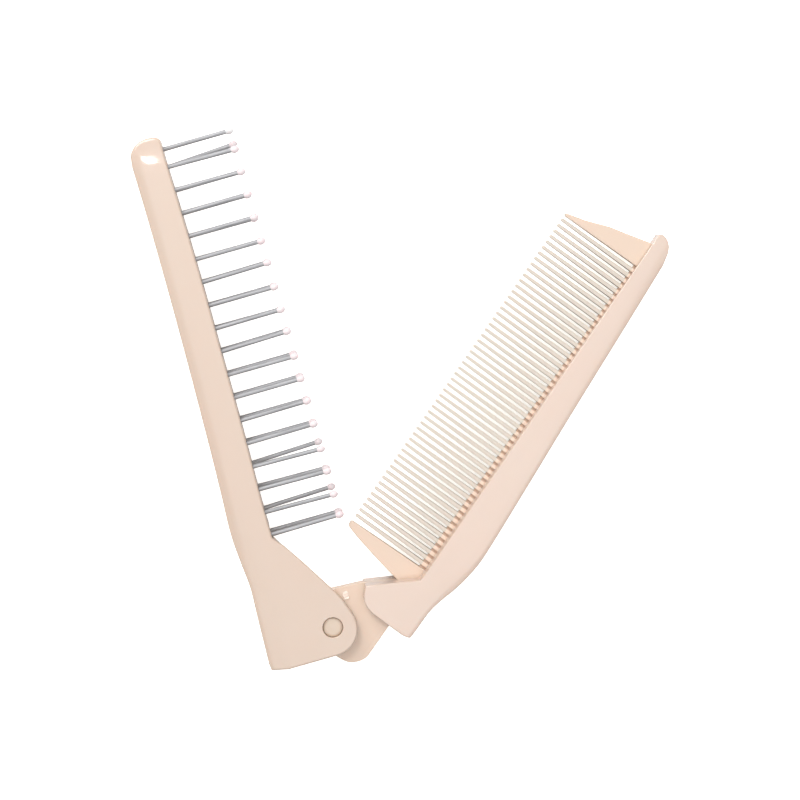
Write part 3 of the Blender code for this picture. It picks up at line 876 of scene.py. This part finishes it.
def root_web():
    """The thinner web between the roots of the teeth, in its dark tone of painted shade. It runs a little way
    into the wedges at both ends.
    """
    low_u = LOW_WEDGE_INNER_U - WEB_OVERLAP
    high_u = HIGH_WEDGE_INNER_U + WEB_OVERLAP
    corners = [(low_u, WEB_BACK_V), (high_u, WEB_BACK_V), (high_u, WEB_EDGE_HIGH_V), (low_u, WEB_EDGE_LOW_V)]
    web = slab([corners], WEB_THICKNESS)
    for face in web.faces:
        face.material_index = SHADED_WEB_TONE
    return web


def colour_teeth(plate):
    """Gives the teeth their tones: a lighter, warmer tone at their roots, which is painted light against the
    shade of the spine there, and greyer past the web's edge.
    """
    start = Vector((LOW_WEDGE_INNER_U, WEB_EDGE_LOW_V, 0.0))
    along = Vector((HIGH_WEDGE_INNER_U, WEB_EDGE_HIGH_V, 0.0)) - start
    across = Vector((-along.y, along.x, 0.0))
    bmesh.ops.bisect_plane(plate, geom=plate.verts[:] + plate.edges[:] + plate.faces[:], dist=CUT_SNAP,
                           plane_co=start, plane_no=across)
    for face in plate.faces:
        place = face.calc_center_median()
        if TOOTH_ROOT_V < place.y and among_teeth(place.x):
            face.material_index = TOOTH_TONE if (place - start).dot(across) > 0.0 else PAINTED_LIGHT_ROOT_TONE


def detent_ramps():
    """The low ramps on the tongue's upper face, each high at its back, let into the tongue by their foot."""
    ramps = bmesh.new()
    top = MIDDLE_Z + PLATE_THICKNESS / 2
    for count in range(RAMP_COUNT):
        back = -RAMP_WIDTH * RAMP_COUNT / 2 + RAMP_WIDTH * count
        corners = [(-RAMP_LENGTH / 2, back), (RAMP_LENGTH / 2, back), (RAMP_LENGTH / 2, back + RAMP_WIDTH),
                   (-RAMP_LENGTH / 2, back + RAMP_WIDTH)]
        lower = [ramps.verts.new((x, y, top - RAMP_FOOT)) for x, y in corners]
        upper = [ramps.verts.new((x, y, top + (RAMP_HEIGHT if y == back else 0.0))) for x, y in corners]
        ramps.faces.new(list(reversed(lower)))
        ramps.faces.new(upper)
        for side in range(4):
            ramps.faces.new((lower[side], lower[(side + 1) % 4], upper[(side + 1) % 4], upper[side]))
    bmesh.ops.transform(ramps, matrix=Matrix.Translation((RAMP_PLACE[0], RAMP_PLACE[1], 0.0))
                        @ Matrix.Rotation(math.radians(RAMP_TURN), 4, "Z"), verts=ramps.verts)
    return ramps


def joined(parts):
    """One bmesh from several, each of them used up."""
    whole = bmesh.new()
    for part in parts:
        mesh = bpy.data.meshes.new("part")
        part.to_mesh(mesh)
        part.free()
        whole.from_mesh(mesh)
        bpy.data.meshes.remove(mesh)
    return whole


def thin_teeth(plate):
    """Thins the teeth from their roots to their tips."""
    for vertex in plate.verts:
        if among_teeth(vertex.co.x):
            share = max((vertex.co.y - TOOTH_ROOT_V) / (TOOTH_TIP_V - TOOTH_ROOT_V), 0.0)
            vertex.co.z = MIDDLE_Z + (vertex.co.z - MIDDLE_Z) * (1.0 - (1.0 - TIP_THINNING) * share)


def tongue_hole():
    """The cutter of the hole that the hinge pin goes through."""
    cutter = bmesh.new()
    profile = [(0.0, 0.0), (0.0, TONGUE_HOLE_RADIUS), (THICKNESS, TONGUE_HOLE_RADIUS), (THICKNESS, 0.0)]
    turned(cutter, profile, (0, 0, 0), (0, 0, 1), TONGUE_HOLE_SIDES)
    return settle(cutter)


def make_comb_plate():
    """The tongue, the wedges and the teeth as one slab, with the web and the ramps added."""
    teeth = [tooth_outline(index) for index in range(TOOTH_COUNT)]
    roots = []
    for tooth in reversed(teeth):
        roots += [tooth[0], tooth[-1]]
    outline = (
        [(PLATE_STEP_U, TONGUE_BACK_V), (PLATE_STEP_U, PLATE_BACK_V), (PLATE_END_U, PLATE_BACK_V)]
        + list(reversed(HIGH_WEDGE_OUTER))
        + HIGH_WEDGE_TIP
        + [(HIGH_WEDGE_INNER_U, TOOTH_ROOT_V)]
        + roots
        + [(LOW_WEDGE_INNER_U, TOOTH_ROOT_V)]
        + LOW_WEDGE_TIP
        + list(reversed(LOW_WEDGE_OUTER))
        + list(reversed(TONGUE_SLANT))
        + arc((0.0, 0.0), TONGUE_BOSS_RADIUS, start_degrees=75, end_degrees=178, steps=24)
        + list(reversed(smooth_edge(TONGUE_CORNER, steps=4)))
    )
    plate = slab([outline] + teeth, PLATE_THICKNESS)
    round_rims(plate, PLATE_EDGE_ROUND, PLATE_EDGE_SEGMENTS)
    thin_teeth(plate)
    plate = carve(plate, tongue_hole())
    colour_teeth(plate)
    mesh_data = joined([plate, root_web(), detent_ramps()])
    bmesh.ops.transform(mesh_data, matrix=ARM_TURN, verts=mesh_data.verts)
    return finished("comb_teeth", mesh_data, "comb", PLATE_TONES)


comb_teeth = make_comb_plate()
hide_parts("comb_plate")
